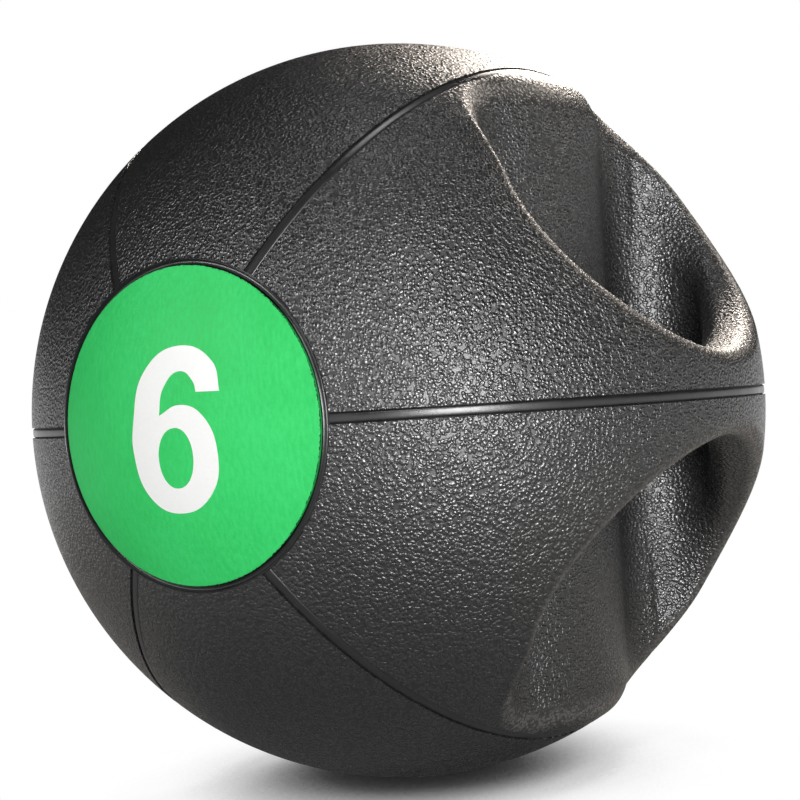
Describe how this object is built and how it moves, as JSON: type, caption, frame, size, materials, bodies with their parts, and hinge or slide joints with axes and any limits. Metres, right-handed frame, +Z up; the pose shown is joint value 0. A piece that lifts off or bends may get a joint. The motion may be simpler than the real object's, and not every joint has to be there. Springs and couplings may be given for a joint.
{
  "type": "medicine ball",
  "caption": "Dual-grip rubber medicine ball: a heavy hollow core under grained cover panels, with a strap handle and finger slot on each side and a coloured weight disc at front and rear.",
  "frame": {"origin": "middle of the flat spot on the floor that the ball rests on, straight under its centre", "axes": "+Z up; -Y out of the front weight disc; +X out of the right-hand handle as seen from the front"},
  "size_m": [0.2748, 0.275, 0.2738],
  "materials": {
    "core_rubber": "matte",
    "grained_rubber": "satin",
    "smooth_rubber": "satin",
    "bar_rubber": "matte",
    "disc_green": "satin",
    "numeral_white": "satin"
  },
  "bodies": {
    "root": {"core_upper_half": "core_rubber", "core_lower_half": "core_rubber", "panel_top": "grained_rubber", "panel_bottom": "grained_rubber", "panel_right_upper": "grained_rubber", "panel_right_lower": "grained_rubber", "panel_left_upper": "grained_rubber", "panel_left_lower": "grained_rubber", "seam_strip_right": "smooth_rubber", "seam_strip_left": "smooth_rubber", "seam_strip_top_right": "smooth_rubber", "seam_strip_top_left": "smooth_rubber", "seam_strip_bottom_left": "smooth_rubber", "seam_strip_bottom_right": "smooth_rubber", "rim_ring_front": "smooth_rubber", "rim_ring_rear": "smooth_rubber", "handle_bar_right": "bar_rubber", "handle_bar_left": "bar_rubber", "weight_disc_front": "disc_green", "weight_disc_rear": "disc_green", "numeral_front": "numeral_white", "numeral_rear": "numeral_white"}
  },
  "joints": []
}
